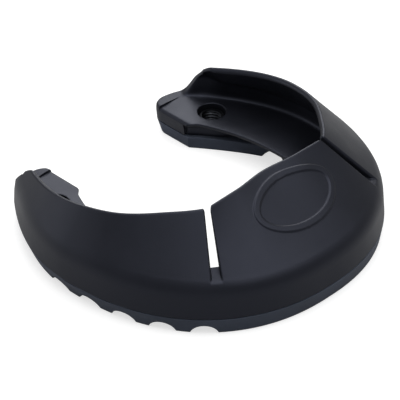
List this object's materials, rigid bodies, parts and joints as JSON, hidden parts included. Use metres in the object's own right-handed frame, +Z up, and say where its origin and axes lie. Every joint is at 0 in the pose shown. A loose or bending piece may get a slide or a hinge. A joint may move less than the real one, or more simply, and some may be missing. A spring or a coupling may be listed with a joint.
{
  "type": "glue-on horseshoe",
  "caption": "Black U-shaped glue-on horseshoe with a slit, inward-leaning cuff on a seat flange, a steel core plate, threaded stud bushes in the heels and a grooved tread.",
  "frame": {"origin": "on the ground plane, midway between the toe and the heels and between the two sides", "axes": "+Z up from the ground face to the cuff, -Y towards the toe, +Y towards the heels, +X towards the horseshoe's left side seen from behind"},
  "size_m": [0.128, 0.119, 0.0382],
  "materials": {
    "upper_plastic": "satin black moulded polyurethane",
    "tread_plastic": "matte black wear-resistant polyurethane",
    "zinc_steel": "black zinc-plated"
  },
  "bodies": {
    "base": {"foot_moulding": "upper_plastic", "tread_sole": "tread_plastic", "core_plate": "zinc_steel", "left_stud_bush": "zinc_steel", "right_stud_bush": "zinc_steel"},
    "toe_cuff": {"toe_panel": "upper_plastic"},
    "left_cuff": {"left_quarter_panel": "upper_plastic"},
    "right_cuff": {"right_quarter_panel": "upper_plastic"}
  },
  "joints": [
    {"name": "toe_flex", "type": "hinge", "parent": "base", "child": "toe_cuff", "pos_m": [0, -0.05332, 0.0217], "axis": [1, 0, 0], "range_deg": [0, 12], "stiffness_Nm_per_rad": 4},
    {"name": "left_quarter_flex", "type": "hinge", "parent": "base", "child": "left_cuff", "pos_m": [0.06029, 0.00468, 0.0217], "axis": [0.0521, 0.9986, 0], "range_deg": [0, 8], "stiffness_Nm_per_rad": 4},
    {"name": "right_quarter_flex", "type": "hinge", "parent": "base", "child": "right_cuff", "pos_m": [-0.06029, 0.00468, 0.0217], "axis": [0.0521, -0.9986, 0], "range_deg": [0, 8], "stiffness_Nm_per_rad": 4}
  ]
}
